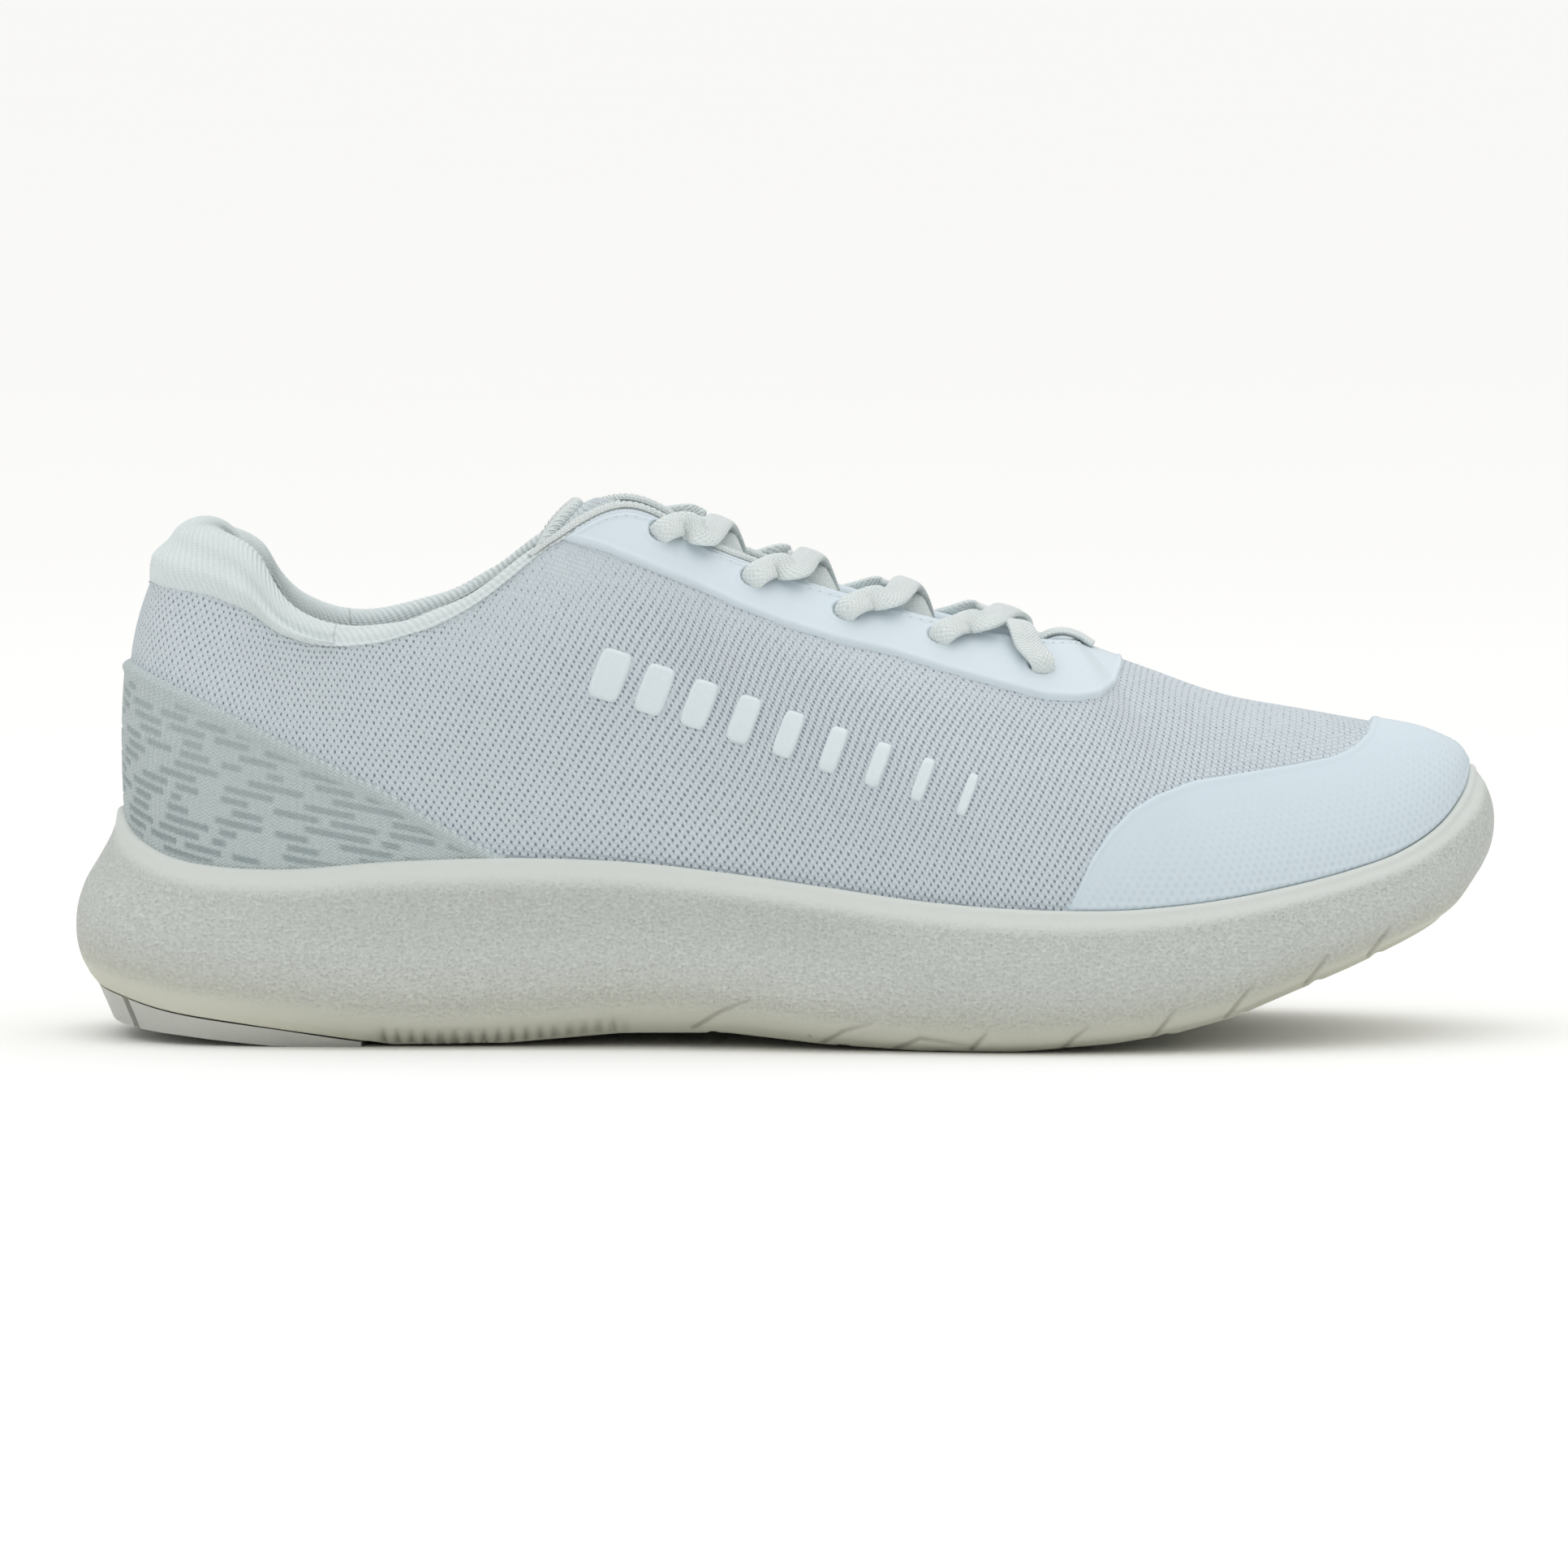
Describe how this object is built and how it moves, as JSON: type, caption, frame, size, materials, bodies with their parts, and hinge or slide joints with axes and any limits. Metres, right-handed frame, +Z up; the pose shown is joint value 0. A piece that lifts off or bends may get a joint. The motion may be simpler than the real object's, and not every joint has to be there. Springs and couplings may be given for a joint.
{
  "type": "running shoe",
  "caption": "Low running shoe, right foot: knit upper with padded collar, film overlays, crossed flat lace and cupped foam sole; bends at the ball of the foot, tongue presses down.",
  "frame": {"origin": "centre of the bounding box in plan, on the ground under the sole", "axes": "+X towards the toe, +Y towards the medial side, +Z up"},
  "size_m": [0.3, 0.1113, 0.1126],
  "materials": {
    "foam": "warm off-white moulded foam with a fine leathery grain",
    "rubber": "off-white blown rubber",
    "board": "stitched fabric board",
    "padding": "soft open-cell foam",
    "knit": "bluish-white engineered knit with rows of small holes",
    "stiffener": "thermoformed sheet",
    "jacquard": "grey-green white jacquard knit with recessed dashes",
    "film": "smooth bonded film",
    "rib_knit": "fine ribbed knit",
    "lace": "flat woven lace",
    "lace_tip": "clear-coated lace tip",
    "transfer": "translucent raised transfer"
  },
  "bodies": {
    "shoe": {"midsole_rear": "foam", "outsole_heel_lateral": "rubber", "outsole_heel_medial": "rubber", "outsole_heel_rear": "rubber", "outsole_forefoot": "rubber", "strobel_board": "board", "sockliner": "padding", "quarter_mesh": "knit", "vamp_flex_panel": "knit", "heel_counter": "stiffener", "heel_knit_overlay": "jacquard", "vamp_lining": "rib_knit", "eyestay_overlay": "film", "eyestay_reinforcement": "stiffener", "collar_lining": "rib_knit", "collar_foam": "padding", "lace": "lace", "lace_tip_lateral": "lace_tip", "lace_tip_medial": "lace_tip", "lace_loop": "lace", "side_emblem_lateral": "transfer", "side_emblem_medial": "transfer"},
    "toe": {"midsole_toe": "foam", "outsole_toe": "rubber", "toe_box_mesh": "knit", "toe_puff": "stiffener", "toe_cap_overlay": "film"},
    "tongue": {"tongue_mesh": "knit", "tongue_foam": "padding", "tongue_lining": "rib_knit", "tongue_binding": "lace"}
  },
  "joints": [
    {"name": "toe_flex", "type": "hinge", "parent": "shoe", "child": "toe", "pos_m": [0.072, 0, 0.02], "axis": [0, -1, 0], "range_deg": [0, 25], "stiffness_Nm_per_rad": 4, "deforming": ["vamp_flex_panel", "strobel_board", "sockliner", "vamp_lining", "toe_cap_overlay"]},
    {"name": "tongue_hinge", "type": "hinge", "parent": "shoe", "child": "tongue", "pos_m": [0.061, 0, 0.076], "axis": [0, -1, 0], "range_deg": [0, 6], "stiffness_Nm_per_rad": 0.4}
  ]
}
